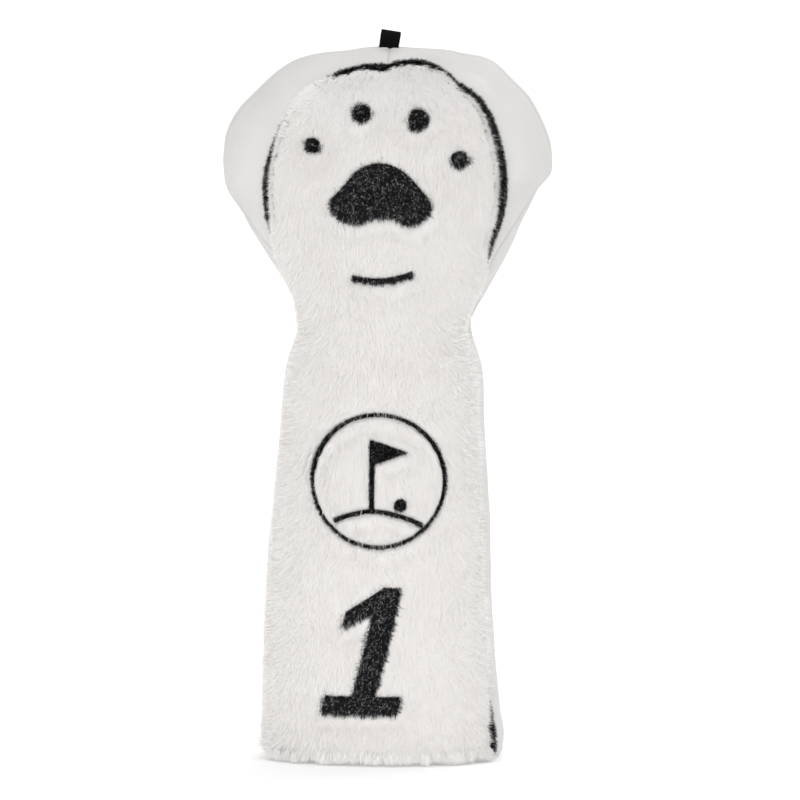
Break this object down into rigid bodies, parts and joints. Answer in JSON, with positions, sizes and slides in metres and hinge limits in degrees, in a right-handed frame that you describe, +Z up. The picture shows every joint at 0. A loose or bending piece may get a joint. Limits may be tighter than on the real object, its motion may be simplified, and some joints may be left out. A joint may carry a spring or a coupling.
{
  "type": "driver head cover",
  "caption": "Upright padded golf driver cover: broad leather head, pinched elastic waist, long sleeve, white fur front with black paw print, and a small ribbon loop on the crown.",
  "frame": {"origin": "on the ground plane of the hem, under the middle of the cover's box", "axes": "+Z up from the hem to the crown, -Y out of the fur front, +X to the right seen from the front"},
  "size_m": [0.1647, 0.0698, 0.3669],
  "materials": {
    "white_fur": "matte",
    "black_fur": "matte",
    "white_leather": "satin",
    "black_ribbon": "matte",
    "padding": "matte",
    "elastic": "matte",
    "lining": "matte"
  },
  "bodies": {
    "cover": {"front_fur_panel": "white_fur", "fur_trim_left": "black_fur", "fur_trim_right": "black_fur", "gusset_left": "white_leather", "gusset_right": "white_leather", "head_back_panel": "white_leather", "sleeve_back_panel": "white_leather", "toe_pad_1": "black_fur", "toe_pad_2": "black_fur", "toe_pad_3": "black_fur", "toe_pad_4": "black_fur", "palm_pad": "black_fur", "mouth_stripe": "black_fur", "badge_ring": "black_fur", "badge_motif": "black_fur", "numeral_one": "black_fur", "loop_anchor": "black_ribbon", "head_padding_front": "padding", "head_padding_gusset_left": "padding", "head_padding_gusset_right": "padding", "head_padding_back": "padding", "sleeve_padding_front": "padding", "sleeve_padding_back": "padding", "neck_elastic": "elastic", "elastic_casing": "lining", "hem_facing_front": "white_leather", "hem_facing_back": "white_leather", "head_lining_front": "lining", "head_lining_back": "lining", "sleeve_lining_front": "lining", "sleeve_lining_back": "lining"},
    "loop": {"hang_loop": "black_ribbon"}
  },
  "joints": [
    {"name": "hang_loop_flop", "type": "hinge", "parent": "cover", "child": "loop", "pos_m": [0.001, 0.002, 0.35922], "axis": [0.9885, 0, -0.1513], "range_deg": [-70, 70], "stiffness_Nm_per_rad": 0.0001}
  ]
}
